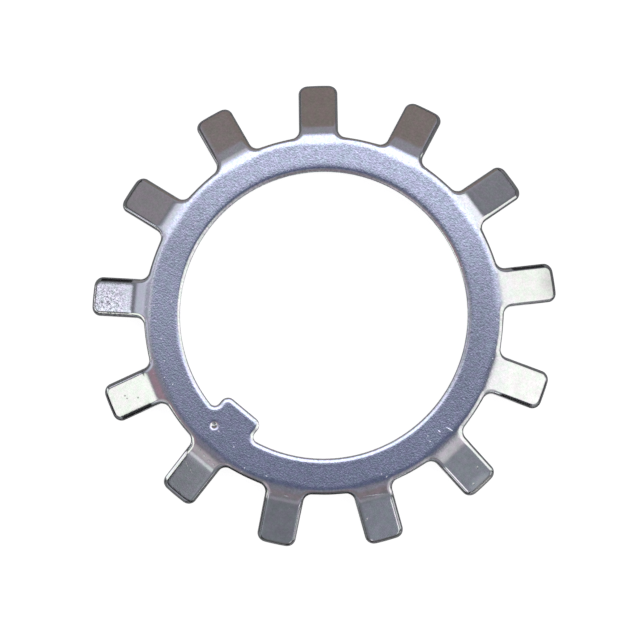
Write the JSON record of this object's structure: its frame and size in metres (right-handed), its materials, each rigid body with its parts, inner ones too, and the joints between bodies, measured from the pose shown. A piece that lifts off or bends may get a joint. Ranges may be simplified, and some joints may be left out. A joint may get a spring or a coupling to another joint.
{
  "type": "tab lock washer",
  "caption": "Flat steel ring with a crown of bent outer tabs and one inner tongue that lock a slotted round nut to a grooved shaft.",
  "frame": {"origin": "on the bore's axis, at the surface that the washer stands on with the ends of its tabs; with an odd number of tabs the box's middle lies about 0.2 mm from the axis along Y", "axes": "+Z along the bore's axis towards the flat bearing face, away from the side that the tabs bend to; -Y towards the inner tongue and the tab in line with it"},
  "size_m": [0.0568, 0.0565, 0.004],
  "materials": {
    "plated_steel": "bright zinc plate over finely grained cold-rolled sheet"
  },
  "bodies": {
    "root": {"lock_washer": "plated_steel"}
  },
  "joints": []
}
